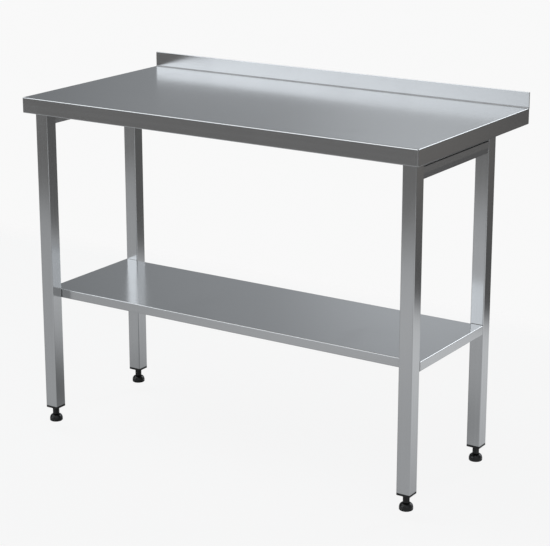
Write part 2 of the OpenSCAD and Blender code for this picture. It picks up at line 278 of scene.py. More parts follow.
def floor_mask(tree, place):
    """1 on the floor, fading out slowly at its front edge and quickly at its back edge."""
    parts = put(tree, "ShaderNodeSeparateXYZ", {0: place}).outputs
    front = ramp(tree, vector_node(tree, "DOT_PRODUCT", place, FRONT_LINE), *FRONT_FADE)
    back = ramp(tree, parts["Y"], *BACK_FADE, 1.0, 0.0)
    side = ramp(tree, math_node(tree, "ABSOLUTE", parts["X"]), *SIDE_FADE, 1.0, 0.0)
    return times(tree, side, front, back)


def mix_shaders(tree, factor, a, b):
    """Mix of two shaders; returns the result's socket."""
    return take(tree, "ShaderNodeMixShader", {0: factor, 1: a, 2: b})


def floor_material():
    """Floor that the steel reflects, that the camera sees white, and that is clear from below."""
    material = bpy.data.materials.new("studio_floor")
    tree = empty_tree(material)
    place = object_place(tree)
    inside = floor_mask(tree, place)
    tint = grey(1.0, -COOL / 2)
    glow = take(tree, "ShaderNodeEmission", {"Color": tint, "Strength": floor_glow(tree, place)})
    clear = take(tree, "ShaderNodeBsdfTransparent")
    paper = take(tree, "ShaderNodeBsdfDiffuse", {"Color": grey(PAPER)})
    shine = take(tree, "ShaderNodeEmission", {"Color": grey(1.0), "Strength": FLOOR_WHITE})
    lit = take(tree, "ShaderNodeAddShader", {0: paper, 1: shine})
    camera_ray = put(tree, "ShaderNodeLightPath").outputs["Is Camera Ray"]
    from_above = mix_shaders(tree, camera_ray, mix_shaders(tree, inside, clear, glow),
                             mix_shaders(tree, inside, clear, lit))
    under = put(tree, "ShaderNodeNewGeometry").outputs["Backfacing"]
    put(tree, "ShaderNodeOutputMaterial", {"Surface": mix_shaders(tree, under, from_above, clear)})
    return material


floor_mesh = bpy.data.meshes.new("studio_floor")
floor_corners = [(-FLOOR_SIDE, FLOOR_FRONT), (FLOOR_SIDE, FLOOR_FRONT),
                 (FLOOR_SIDE, FLOOR_BACK), (-FLOOR_SIDE, FLOOR_BACK)]
floor_mesh.from_pydata([(x, y, FLOOR_LEVEL) for x, y in floor_corners], [], [(0, 1, 2, 3)])
floor_mesh.materials.append(floor_material())
add_to_scene("studio_floor", floor_mesh)
print("floor", 2 * FLOOR_SIDE, "m wide and", FLOOR_BACK - FLOOR_FRONT, "m deep")

# %% Soft key light
def area_light(name, place, aim, size, watts):
    """A square soft light that the camera doesn't see."""
    data = bpy.data.lights.new(name, "AREA")
    data.size = size
    data.energy = watts
    light = add_to_scene(name, data)
    light.location = place
    light.rotation_euler = (Vector(aim) - Vector(place)).to_track_quat("-Z", "Y").to_euler()
    light.visible_camera = False


area_light("overhead_softbox", place=(-0.4, -0.6, 3.2), aim=(0, 0, 0.4), size=3.6, watts=28)

# %% [markdown]
# ## Shader groups
# Brushed steel, welds and fasteners all share one effect: fine scratches that run one way. It is
# made once, as a group with named inputs, and each material places it with its own values. The
# pattern is noise stretched along the grain; it gives a small height for the bump, a change in
# roughness and a faint change in tone. A second group adds what hands and cloths leave behind. A
# third marks narrow strips: the welded corners, where the sheet was ground and is a little duller,
# and the cove, where a darker tone is painted shade in the crease and the added roughness dulls it.

# %% Brushed grain group
FINE_SHARE = 0.6
COARSE_GRAIN = 0.13
CLOUDS, DRIFT = 2.2, 0.5
SMOOTHEST = 0.02


def new_tree(kind, name, inputs, outputs):
    """Empty node group with named sockets; returns the tree, what it is given and its results."""
    tree = bpy.data.node_groups.new(name, kind + "NodeTree")
    for way, sockets in (("INPUT", inputs), ("OUTPUT", outputs)):
        for label, socket in sockets.items():
            tree.interface.new_socket(label, in_out=way, socket_type="NodeSocket" + socket)
    print(kind.lower(), "tree", name, "takes", ", ".join(inputs))
    return tree, tree.nodes.new("NodeGroupInput").outputs, tree.nodes.new("NodeGroupOutput").inputs


def brushed_grain_group():
    """Scratches along a direction: Stretch holds how often they repeat along each axis, per metre."""
    tree, given, result = new_tree(
        "Shader", "brushed_grain",
        {"Stretch": "Vector", "Roughness": "Float", "Spread": "Float", "Tone": "Float",
         "Tone Change": "Float"},
        {"Tone": "Float", "Roughness": "Float", "Height": "Float"})
    place = object_place(tree)
    stretched = vector_node(tree, "MULTIPLY", place, given["Stretch"])
    fine = times(tree, noise(tree, stretched, 1.0, detail=3.0, roughness=0.6), FINE_SHARE)
    coarse = times(tree, noise(tree, stretched, COARSE_GRAIN), 1 - FINE_SHARE)
    streak = plus(tree, fine, coarse)
    drift = times(tree, plus(tree, noise(tree, place, CLOUDS), -0.5), DRIFT)
    both = plus(tree, streak, -0.5, drift)
    rough = plus(tree, times(tree, both, given["Spread"]), given["Roughness"])
    fill(tree, result, {
        "Tone": plus(tree, times(tree, both, given["Tone Change"]), given["Tone"]),
        "Roughness": math_node(tree, "MAXIMUM", rough, SMOOTHEST), "Height": streak})
    return tree


brushed_grain = brushed_grain_group()

# %% Handling marks group
SCRATCH_TURN = (0.3, 0.5, 0.7)
SCRATCH_STRETCH = (14, 420, 420)
PATCHES = 9.0
# From which value of its noise a mark begins, and where it is full
SMEARED, SCRATCHED, PATCHED = (0.52, 0.70), (0.70, 0.76), (0.5, 0.6)


def handling_marks_group():
    """Faint smears and short stray scratches, as masks from 0 to 1."""
    tree, given, result = new_tree("Shader", "handling_marks", {"Scale": "Float", "Amount": "Float"},
                                   {"Smears": "Float", "Scratches": "Float"})
    place = object_place(tree)
    smears = ramp(tree, noise(tree, place, given["Scale"], detail=4.0, roughness=0.6), *SMEARED)
    turn = {"Vector": place, "Rotation": SCRATCH_TURN, "Scale": SCRATCH_STRETCH}
    turned = take(tree, "ShaderNodeMapping", turn)
    lines = ramp(tree, noise(tree, turned, 1.0, detail=1.0), *SCRATCHED)
    patches = ramp(tree, noise(tree, place, PATCHES, detail=1.0), *PATCHED)
    fill(tree, result, {"Smears": times(tree, smears, given["Amount"]),
                        "Scratches": times(tree, lines, patches, given["Amount"])})
    return tree


handling_marks = handling_marks_group()

# %% Strip group: ground seams and painted shade
RAGGED = 160.0


def seam_and_shade_strip_group():
    """Mask of a narrow strip along one straight line, with a soft, slightly ragged edge."""
    tree, given, result = new_tree(
        "Shader", "seam_and_shade_strip", {"Middle": "Vector", "Across": "Vector", "Half Width": "Float"},
        {"Mask": "Float"})
    place, half_width = object_place(tree), given["Half Width"]
    off = vector_node(tree, "SUBTRACT", vector_node(tree, "ABSOLUTE", place), given["Middle"])
    reach = vector_node(tree, "LENGTH", vector_node(tree, "MULTIPLY", off, given["Across"]))
    outer = plus(tree, half_width, times(tree, noise(tree, place, RAGGED), half_width))
    fill(tree, result, {"Mask": ramp(tree, reach, times(tree, half_width, 0.5), outer, 1.0, 0.0)})
    return tree


seam_and_shade_strip = seam_and_shade_strip_group()

# %% [markdown]
# ## Steel finishes
# The Principled shader does the work: Metallic is 1, the base colour is the grey of stainless
# steel, and the roughness is low, because this sheet is brushed finely enough to mirror. The grain
# runs along X on the sheet and along Z on the legs, so each gets its own Stretch.

# %% Steel materials
ROUGHNESS_SPREAD = 0.08
TONE_CHANGE = 0.16
SMEAR_SCALE = 5.0
SMEAR_DULLS, SCRATCH_DULLS = 0.10, 0.15
GRAIN_BUMP, GRAIN_DEPTH = 0.10, 0.0004


def new_material(name):
    """Material with only a Principled shader and an output; returns material, tree and shader."""
    material = bpy.data.materials.new(name)
    tree = empty_tree(material)
    shader = put(tree, "ShaderNodeBsdfPrincipled")
    put(tree, "ShaderNodeOutputMaterial", {"Surface": shader.outputs[0]})
    return material, tree, shader


def surface(tree, shader, colour, roughness, height, strength, depth):
    """Joins colour, roughness and the bump of a height to the shader."""
    relief = take(tree, "ShaderNodeBump", {"Strength": strength, "Distance": depth, "Height": height})
    fill(tree, shader.inputs, {"Base Color": colour, "Roughness": roughness, "Normal": relief})


def steel(name, stretch, tone=0.58, rough=0.17, warmth=-0.008, marks=0.3, strips=()):
    """Brushed stainless steel, its grain along the axis where Stretch is small; strips are duller and
    darker: ground seams, and painted shade in the cove.
    """
    material, tree, shader = new_material(name)
    values = {"Stretch": stretch, "Roughness": rough, "Spread": ROUGHNESS_SPREAD, "Tone": tone,
              "Tone Change": tone * TONE_CHANGE}
    grain = put(tree, "ShaderNodeGroup", values, node_tree=brushed_grain).outputs
    values = {"Scale": SMEAR_SCALE, "Amount": marks}
    wear = put(tree, "ShaderNodeGroup", values, node_tree=handling_marks).outputs
    colour = tinted(tree, grain["Tone"], warmth)
    roughness = plus(tree, times(tree, wear["Smears"], SMEAR_DULLS),
                     times(tree, wear["Scratches"], SCRATCH_DULLS), grain["Roughness"])
    for middle, across, half_width, strip_tone, strip_rough in strips:
        values = {"Middle": middle, "Across": across, "Half Width": half_width}
        strip = take(tree, "ShaderNodeGroup", values, node_tree=seam_and_shade_strip)
        colour = mix_colours(tree, strip, colour, grey(strip_tone))
        roughness = plus(tree, roughness, times(tree, strip, strip_rough))
    surface(tree, shader, colour, roughness, grain["Height"], GRAIN_BUMP, GRAIN_DEPTH)
    shader.inputs["Metallic"].default_value = 1.0
    return material


ALONG_X, ALONG_Y, ALONG_Z = (2.5, 900, 900), (900, 2.5, 900), (900, 900, 2.5)
# Each strip, a ground seam or painted shade: a point on it, the axes across it, half its width, its tone
# and added roughness
TOP_CORNER = ((0.600, 0.300, 0), (1, 1, 0), 0.0030, 0.46, 0.14)
# Painted shade: a darker, duller line along the cove at the upstand's foot, where shade falls in the
# crease
COVE_PAINTED_SHADE = ((0, 0.2962, 0.9265), (0, 1, 1), 0.0020, 0.33, 0.25)
SHELF_CORNER = ((0.581, 0.232, 0), (1, 1, 0), 0.0030, 0.46, 0.14)
top_steel = steel("stainless_top", ALONG_X, strips=[TOP_CORNER, COVE_PAINTED_SHADE])
shelf_steel = steel("stainless_shelf", ALONG_X, strips=[SHELF_CORNER])
weld_steel = steel("weld_metal", (200, 200, 200), tone=0.42, rough=0.34, warmth=0.02, marks=0.6)
leg_steel = steel("stainless_leg", ALONG_Z)
frame_steel = steel("stainless_frame", ALONG_Y, tone=0.62, rough=0.24)
channel_steel = steel("stainless_channel", ALONG_X, tone=0.50, rough=0.32)
plated_steel = steel("plated_steel", (300, 300, 60), tone=0.60, rough=0.22, warmth=0.01, marks=0.2)
brass = steel("insert_brass", (400, 400, 40), tone=0.50, rough=0.28, warmth=0.35, marks=0.2)
print("steel finishes:", [m.name for m in bpy.data.materials if m.name.startswith("stainless")])

# %% [markdown]
# ## Plastic, rubber and board
# Feet and plugs are moulded in black plastic. The mould was spark-eroded, which leaves a fine
# speckle: a bump with no change of colour. The rubber under the feet is the same recipe, coarser
# and duller. Chipboard is glued flakes of wood. Voronoi cells, drawn out flat, give each flake its
# own brown and its own height.

# %% Plastic, rubber and board
BLACKEST, BLACK = 0.004, 0.009
MOULDING_CLOUDS = 60.0
TONE_CLOUD, ROUGH_CLOUD = (0.3, 0.7), (0.2, 0.8)
SMOOTHER, ROUGHER = 0.04, 0.06
MOULDING_SHINE = 0.4
FLAKE_STRETCH = (220, 300, 500)
BOARD_ROUGH = 0.75
DARK_WOOD, PALE_WOOD = (0.30, 0.18, 0.09, 1), (0.55, 0.39, 0.22, 1)


def black_plastic(name, rough, grain_scale):
    """Moulded black plastic with a fine spark-eroded texture."""
    material, tree, shader = new_material(name)
    place = object_place(tree)
    speckle = noise(tree, place, grain_scale, detail=3.0)
    cloud = noise(tree, place, MOULDING_CLOUDS)
    colour = tinted(tree, ramp(tree, cloud, *TONE_CLOUD, BLACKEST, BLACK))
    roughness = ramp(tree, cloud, *ROUGH_CLOUD, rough - SMOOTHER, rough + ROUGHER)
    surface(tree, shader, colour, roughness, speckle, strength=0.25, depth=0.0002)
    shader.inputs["Specular IOR Level"].default_value = MOULDING_SHINE
    return material


def board_material():
    """Chipboard: flakes of several browns with a little relief."""
    material, tree, shader = new_material("chipboard")
    stretch = {"Vector": object_place(tree), "Scale": FLAKE_STRETCH}
    flat = take(tree, "ShaderNodeMapping", stretch)
    flakes = put(tree, "ShaderNodeTexVoronoi", {"Vector": flat, "Scale": 1.0}).outputs
    tint = take(tree, "ShaderNodeSeparateColor", {0: flakes["Color"]})
    colour = mix_colours(tree, tint, DARK_WOOD, PALE_WOOD)
    surface(tree, shader, colour, BOARD_ROUGH, flakes["Distance"], strength=0.3, depth=0.0004)
    return material


foot_plastic = black_plastic("foot_plastic", rough=0.24, grain_scale=1500)
plug_plastic = black_plastic("plug_plastic", rough=0.42, grain_scale=2200)
sole_rubber = black_plastic("sole_rubber", rough=0.72, grain_scale=900)
chipboard = board_material()
print("materials:", len(bpy.data.materials))

# %% Finishes of the CAD nodes that stay
CORNERS = ("fl", "fr", "bl", "br")
FINISH = {
    "underlay_board": chipboard, "shelf_stiffener": channel_steel, "shelf_nuts": plated_steel,
    "left_rail": frame_steel, "right_rail": frame_steel,
    "left_bearer": frame_steel, "right_bearer": frame_steel,
    "front_channel": channel_steel, "rear_channel": channel_steel, "wall_channel": channel_steel,
}
for corner in CORNERS:
    FINISH["leg_cap_" + corner] = channel_steel
    FINISH["insert_" + corner] = brass
for name, material in FINISH.items():
    nodes[name].data.materials.clear()
    nodes[name].data.materials.append(material)
print("CAD nodes kept with new finishes:", len(FINISH))

# %% [markdown]
# ## How the rebuilt pieces are made
# Nearly every part here is a loft: a stack of rings with the same number of points, skinned from
# one ring to the next. A folded tray is a stack of rounded rectangles that goes over the top bend,
# down the edge, round the lip and back up inside. A foot pad is a stack of circles. A loft has few
# points, it closes into a true solid, and its size comes straight from the CAD part's box.

# %% Ring helpers
SMALLEST_RADIUS = 0.00004
CORNER_STEPS = 6


def box_of(name):
    """A CAD node's two opposite corners."""
    low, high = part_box(name)
    return Vector(low), Vector(high)


def round_part(name):
    """Lowest and highest corner, middle and radius of a round CAD node."""
    low, high = box_of(name)
    return low, high, (low + high) / 2, (high.x - low.x) / 2


def box_ring(low, high, inset, corner, z):
    """Rectangle with round corners at height z, inset from the box low..high."""
    radius = max(corner - inset, SMALLEST_RADIUS)
    left, right = low.x + inset + radius, high.x - inset - radius
    front, back = low.y + inset + radius, high.y - inset - radius
    ring = []
    for x, y, start in ((right, back, 0), (left, back, 90), (left, front, 180), (right, front, 270)):
        ring += [(*point, z) for point in arc((x, y), radius, start, start + 90, CORNER_STEPS)]
    return ring


def turned_ring(centre, radius, z, count, flats=None, lobes=0.0):
    """Ring about a vertical axis: a circle, a hexagon cut off by it, or a six-lobed star."""
    ring = []
    for step in range(count):
        angle = 2 * math.pi * step / count
        reach = radius + lobes * math.cos(6 * angle)
        if flats:
            reach = min(reach, flats / 2 / math.cos(angle % (math.pi / 3) - math.pi / 6))
        ring.append((centre.x + reach * math.cos(angle), centre.y + reach * math.sin(angle), z))
    return ring


def turned_rings(centre, profile, count=64, **shape):
    """Rings about a vertical axis, one for each radius and height of a profile."""
    return [turned_ring(centre, max(r, SMALLEST_RADIUS), z, count, **shape) for r, z in profile]


def box_rings(low, high, corner, section):
    """Rectangles with round corners, one for each inset and height of a section."""
    return [box_ring(low, high, inset, corner, z) for inset, z in section]


def circle_like(ring, centre, radius, z):
    """Circle with a point in the same direction as each point of another ring."""
    away = [Vector((x - centre.x, y - centre.y)).normalized() * radius for x, y, _ in ring]
    return [(centre.x + v.x, centre.y + v.y, z) for v in away]


def arc(middle, radius, start, end, steps=5):
    """Points on an arc in a section, from one angle to another, in degrees."""
    angles = [math.radians(start + (end - start) * k / steps) for k in range(steps + 1)]
    return [(middle[0] + radius * math.cos(a), middle[1] + radius * math.sin(a)) for a in angles]


print("rings have", 4 * (CORNER_STEPS + 1), "points on a rectangle")

# %% Lofting and finishing
SHARP_ANGLE = math.radians(38)
WELD_DISTANCE = 1e-7


def loft(rings, closed=False):
    """Skin over the rings; the first and last are capped, or joined when the loft is closed."""
    shape = bmesh.new()
    loops = [[shape.verts.new(point) for point in ring] for ring in rings]
    following = loops[1:] + loops[:1] if closed else loops[1:]
    for low, high in zip(loops, following):
        for i in range(len(low)):
            j = (i + 1) % len(low)
            shape.faces.new((low[i], low[j], high[j], high[i]))
    if not closed:
        shape.faces.new(loops[0][::-1])
        shape.faces.new(loops[-1])
    bmesh.ops.recalc_face_normals(shape, faces=shape.faces)
    return shape


def mesh_of(shape, name):
    """Makes a mesh of a shape, which is freed."""
    mesh = bpy.data.meshes.new(name)
    shape.to_mesh(mesh)
    shape.free()
    return mesh


def add_piece(shape, name, material, body, replaced=()):
    """Makes a piece of a shape: smooth but for its sharp edges, with flat faces kept flat."""
    bmesh.ops.remove_doubles(shape, verts=shape.verts, dist=WELD_DISTANCE)
    for face in shape.faces:
        face.smooth = True
    for edge in shape.edges:
        edge.smooth = edge.calc_face_angle(0) < SHARP_ANGLE
    mesh = mesh_of(shape, name)
    mesh.materials.clear()
    mesh.materials.append(material)
    piece = add_to_scene(name, mesh)
    piece.modifiers.new("flat_faces_stay_flat", "WEIGHTED_NORMAL").keep_sharp = True
    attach(piece, body)
    if replaced:
        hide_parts(*replaced)
    print("made", name, "with", len(mesh.polygons), "faces")


# %% [markdown]
# ## Worktop
# The worktop is one sheet, one millimetre thick. Its front and ends fold down and then in, to a
# narrow lip, and its corners are welded and ground flush. At the wall the sheet turns up round a
# cove into a hollow upstand with a round hem. The tray is a loft of rectangles. The upstand is its
# section, drawn once and pulled along the table, with a small bevel where its ends are closed.

# %% Folded trays
SHEET = 0.001
FOLD = 0.002
RAW_EDGE = 0.0002


def folded_tray(low, high, top, lip):
    """Tray of sheet with its edges folded down: over the bend, down, round the lip and back inside."""
    bottom, under = low.z, low.z + SHEET
    section = arc((FOLD, top - FOLD), FOLD, 90, 180)
    section += arc((FOLD, bottom + FOLD), FOLD, 180, 270)
    section += [(lip - RAW_EDGE, bottom), (lip, bottom + RAW_EDGE)]
    section += [(lip, under - RAW_EDGE), (lip - RAW_EDGE, under)]
    section += arc((FOLD, bottom + FOLD), FOLD - SHEET, 270, 180)
    section += arc((FOLD, top - FOLD), FOLD - SHEET, 180, 90)
    return loft(box_rings(low, high, FOLD, section))


# %% Worktop and upstand
TOP_LIP = 0.012
UPSTAND = 0.003
COVE = 0.0015
END_BEVEL = 0.0003


def upstand(low, high, top):
    """Upstand's section, from the cove over the hem to the wall face, pulled along X."""
    wall, seat = high.y, top - FOLD
    section = [(wall - UPSTAND - COVE, seat)]
    section += arc((wall - UPSTAND - COVE, top + COVE), COVE, 270, 360)
    section += arc((wall - UPSTAND / 2, high.z - UPSTAND / 2), UPSTAND / 2, 180, 0, 10)
    section += [(wall, seat)]
    shape = loft([[(x, y, z) for y, z in section] for x in (low.x, high.x)])
    ends = [face for face in shape.faces if len(face.verts) == len(section)]
    rims = [edge for face in ends for edge in face.edges]
    bmesh.ops.bevel(shape, geom=rims, offset=END_BEVEL, segments=2, profile=0.5, affect="EDGES")
    return shape


skin_low, skin_high = box_of("worktop_skin")
work_height = box_of("underlay_board")[1].z + SHEET
worktop = bmesh.new()
for shape in (folded_tray(skin_low, skin_high, work_height, TOP_LIP),
              upstand(skin_low, skin_high, work_height)):
    worktop.from_mesh(mesh_of(shape, "part_of_the_worktop"))
add_piece(worktop, "worktop_sheet", top_steel, "table", ["worktop_skin"])
print("worktop surface at", round(work_height, 4), "m")

# %% [markdown]
# ## Shelf
# The shelf is a shallower tray of the same sheet. It lies between the front and the rear legs, so
# it needs no notches, and its ends are flush with the legs' outer faces.

# %% Shelf tray
SHELF_LIP = 0.010
shelf_low, shelf_high = box_of("shelf")
shelf_tray = folded_tray(shelf_low, shelf_high, shelf_high.z, SHELF_LIP)
add_piece(shelf_tray, "shelf_tray", shelf_steel, "table", ["shelf"])
print("shelf surface at", round(shelf_high.z, 4), "m")

# %% [markdown]
# ## Legs and end plugs
# A leg is square tube: an outer stack of rounded squares, and an inner one that turns it into a
# hollow wall. The saw cuts are dressed, which leaves a fine bevel. The moulded plug under it shows
# only as a black band, but it is a real part: a flange, a cup inside the tube and a boss that holds
# the brass insert.

# %% Leg tubes
TUBE_WALL = 0.0012
TUBE_CORNER = 0.0025
SAW_BEVEL = 0.0003


def leg_tube(low, high):
    """Hollow square tube with dressed ends."""
    section = [(SAW_BEVEL, low.z), (0, low.z + SAW_BEVEL), (0, high.z - SAW_BEVEL), (SAW_BEVEL, high.z)]
    section += [(TUBE_WALL, high.z), (TUBE_WALL, low.z)]
    return loft(box_rings(low, high, TUBE_CORNER, section), closed=True)


for corner in CORNERS:
    node = "leg_" + corner
    add_piece(leg_tube(*box_of(node)), node + "_tube", leg_steel, "table", [node])

# %% End plugs
PLUG_EDGE = 0.0006
CUP_INSET = TUBE_WALL + 0.0001
CUP_WALL = 0.002
BOSS_WALL = 0.0025
SPINDLE_SLACK = 0.00025
# The spindle's box is as wide as its ball, and the stem is five sixths of that
SPINDLE_SHARE = 5 / 6


def end_plug(corner):
    """Moulded plug: flange, square cup, and a round boss with the insert's bore."""
    low, high = box_of("plug_" + corner)
    leg_foot = box_of("leg_" + corner)[0].z
    insert_low, insert_high, middle, insert_radius = round_part("insert_" + corner)
    outside = [(CUP_INSET * 2, low.z), (PLUG_EDGE * 2, low.z), (PLUG_EDGE * 0.6, low.z + PLUG_EDGE * 0.3)]
    outside += [(0, low.z + PLUG_EDGE), (0, leg_foot - RAW_EDGE), (RAW_EDGE, leg_foot)]
    outside += [(CUP_INSET, leg_foot), (CUP_INSET, high.z - PLUG_EDGE), (CUP_INSET + PLUG_EDGE, high.z)]
    outside += [(CUP_INSET + CUP_WALL, high.z), (CUP_INSET + CUP_WALL, leg_foot)]
    rings = box_rings(low, high, TUBE_CORNER, outside)
    bore = (box_of("spindle_" + corner)[1].x - middle.x) * SPINDLE_SHARE + SPINDLE_SLACK
    turned = [(insert_radius + BOSS_WALL, leg_foot), (insert_radius + BOSS_WALL, insert_high.z)]
    turned += [(insert_radius, insert_high.z), (insert_radius, insert_low.z)]
    turned += [(bore, insert_low.z), (bore, low.z)]
    rings += [circle_like(rings[0], middle, radius, z) for radius, z in turned]
    return loft(rings, closed=True)


for corner in CORNERS:
    node = "plug_" + corner
    add_piece(end_plug(corner), "end_" + node, plug_plastic, "table", [node])

# %% [markdown]
# ## Levelling feet
# Each foot is a moulded pad with a rubber sole, a steel spindle whose ball end turns in the pad,
# and a hexagonal hub that a spanner fits. Pad, sole and hub are turned shapes, stacks of rings round
# one axis. The hub's flats come from cutting the rings off at a hexagon, and its ends are chamfered
# as on a nut, by letting the circle win there.

# %% Pads and soles
PAD_ROUNDING = 0.0010
RIM = 0.008
PARTING_GROOVE = 0.0003
NECK_LEAD = 0.0006
BALL_SLACK = 0.00005
# Outer edges of the grooves as shares of the radius, their depth as one of the sole's, and their slope
SOLE_GROOVES = (0.82, 0.58, 0.34)
GROOVE_DEPTH, GROOVE_SLOPE = 0.3, 0.2


def foot_pad(corner):
    """Pad with a rounded lower edge, a fine parting groove, a dome and a ball socket."""
    low, high, middle, radius = round_part("pad_" + corner)
    _, sole_high, _, recess = round_part("sole_" + corner)
    ball_low, _, _, ball = round_part("spindle_" + corner)
    shoulder = high.z - RIM
    neck, socket = ball * SPINDLE_SHARE + BALL_SLACK, ball + BALL_SLACK
    opening = math.degrees(math.acos(neck / socket))
    profile = [(SMALLEST_RADIUS, sole_high.z), (recess, sole_high.z), (recess, low.z)]
    profile += arc((radius - PAD_ROUNDING, low.z + PAD_ROUNDING), PAD_ROUNDING, -90, 0, 4)
    profile += [(radius, RIM - PARTING_GROOVE), (radius - PARTING_GROOVE, RIM)]
    profile += arc((radius - shoulder, RIM), shoulder - PARTING_GROOVE, 2, 88, 14)
    profile += [(neck + NECK_LEAD, high.z), (neck, high.z - NECK_LEAD)]
    profile += arc((0, ball_low.z + ball), socket, opening, -89, 14)
    return loft(turned_rings(middle, profile))


def rubber_sole(corner):
    """Flat sole with three grooves that keep it from slipping."""
    low, high, middle, radius = round_part("sole_" + corner)
    groove, depth = radius / 12, (high.z - low.z) * GROOVE_DEPTH
    profile = [(SMALLEST_RADIUS, high.z), (radius, high.z), (radius, low.z + RAW_EDGE)]
    profile += [(radius - RAW_EDGE, low.z)]
    for share in SOLE_GROOVES:
        edge = radius * share
        profile += [(edge, low.z), (edge - groove * GROOVE_SLOPE, low.z + depth)]
        profile += [(edge - groove * (1 - GROOVE_SLOPE), low.z + depth), (edge - groove, low.z)]
    profile += [(SMALLEST_RADIUS, low.z)]
    return loft(turned_rings(middle, profile))


for corner in CORNERS:
    body = "foot_pad_" + corner
    add_piece(foot_pad(corner), body + "_moulding", foot_plastic, body, ["pad_" + corner])
    add_piece(rubber_sole(corner), "foot_sole_" + corner, sole_rubber, body,
              ["sole_" + corner])

# %% Hubs
HUB_CHAMFER = 0.0011
HUB_BORE_SHARE = SPINDLE_SHARE * 0.97
HUB_STEPS = 72
# Radius over half the flats: at the corners, which are a little worn, and at the chamfered ends
HUB_CORNER, HUB_END = 1.135, 0.985


def foot_hub(corner):
    """Hexagonal hub, chamfered at both ends, with the bore that the spindle is moulded in."""
    low, high, middle, _ = round_part("hub_" + corner)
    flats = high.y - low.y
    full, cut = flats / 2 * HUB_CORNER, flats / 2 * HUB_END
    bore = round_part("spindle_" + corner)[3] * HUB_BORE_SHARE
    between, ease = cut + (full - cut) * 0.5, HUB_CHAMFER * 0.45
    outside = [(cut, low.z), (between, low.z + ease), (full, low.z + HUB_CHAMFER)]
    outside += [(full, high.z - HUB_CHAMFER), (between, high.z - ease), (cut, high.z)]
    rings = turned_rings(middle, outside, HUB_STEPS, flats=flats)
    rings += turned_rings(middle, [(bore, high.z), (bore, low.z)], HUB_STEPS)
    return loft(rings, closed=True)


for corner in CORNERS:
    add_piece(foot_hub(corner), "foot_hub_" + corner + "_moulding", foot_plastic, "foot_screw_" + corner,
              ["hub_" + corner])

# %% [markdown]
# ## Geometry Nodes for what repeats
# Threads, screws, welds and spot welds follow a rule, so each is a small node tree. The tree gets
# its sizes through named inputs, and the finished shape is copied out as a plain mesh, because an
# export knows nothing of nodes. These helpers start and end a tree, build the object, fill the
# inputs in and copy the result.

# %% Geometry Nodes helpers
def new_geometry_tree(name, sizes):
    """Tree that takes a mesh and the named sizes, and gives a mesh back."""
    return new_tree("Geometry", name, {"Geometry": "Geometry", **sizes}, {"Geometry": "Geometry"})


def end_tree(tree, result, shape, material):
    """Turns copies into real mesh, gives it its material and ends the tree."""
    real = take(tree, "GeometryNodeRealizeInstances", {0: shape})
    coated = take(tree, "GeometryNodeSetMaterial", {0: real, "Material": material})
    fill(tree, result, {0: coated})
    return tree


def grown(mesh, tree, values):
    """The shape that a tree makes from a mesh, as a bmesh; values fill its named inputs."""
    seed = add_to_scene("node_seed", mesh)
    modifier = seed.modifiers.new("nodes", "NODES")
    modifier.node_group = tree
    for item in tree.interface.items_tree:
        if item.in_out == "INPUT" and item.name in values:
            modifier[item.identifier] = values[item.name]
    bpy.context.view_layer.update()
    depsgraph = bpy.context.evaluated_depsgraph_get()
    result = bpy.data.meshes.new_from_object(seed.evaluated_get(depsgraph))
    shape = bmesh.new()
    shape.from_mesh(result)
    bpy.data.objects.remove(seed)
    bpy.data.meshes.remove(result)
    return shape


def path_mesh(paths):
    """Mesh of edges only: one chain of points for each path."""
    points, edges = [], []
    for path in paths:
        start = len(points)
        points += [tuple(p) for p in path]
        edges += [(start + i, start + i + 1) for i in range(len(path) - 1)]
    mesh = bpy.data.meshes.new("paths")
    mesh.from_pydata(points, edges, [])
    return mesh


def parts_of(name):
    """Middle, lowest and highest corner of each loose part of a CAD node."""
    shape = bmesh.new()
    shape.from_mesh(nodes[name].data)
    bmesh.ops.remove_doubles(shape, verts=shape.verts, dist=1e-6)
    waiting = set(shape.verts)
    found = []
    while waiting:
        stack = [waiting.pop()]
        part = []
        while stack:
            vertex = stack.pop()
            part.append(vertex.co.copy())
            linked = {edge.other_vert(vertex) for edge in vertex.link_edges} & waiting
            waiting -= linked
            stack += linked
        low = Vector([min(p[axis] for p in part) for axis in range(3)])
        high = Vector([max(p[axis] for p in part) for axis in range(3)])
        found.append(((low + high) / 2, low, high))
    shape.free()
    return sorted(found, key=lambda part: tuple(round(v, 4) for v in part[0]))


print("worktop screws:", len(parts_of("worktop_screws")), "shelf bolts:", len(parts_of("shelf_bolts")))

# %% [markdown]
# ## Spindles
# A spindle's thread is a helix: its angle grows with its height, one and a half millimetres for each
# turn. The tree places the points of a line on that helix and sweeps a small diamond along it. Half
# of the diamond is sunk in the core, so only the ridge shows. The pitch is the one that the joint
# uses, so a turned foot moves just as its thread says.

# %% Thread tree
FULL_TURN = 2 * math.pi


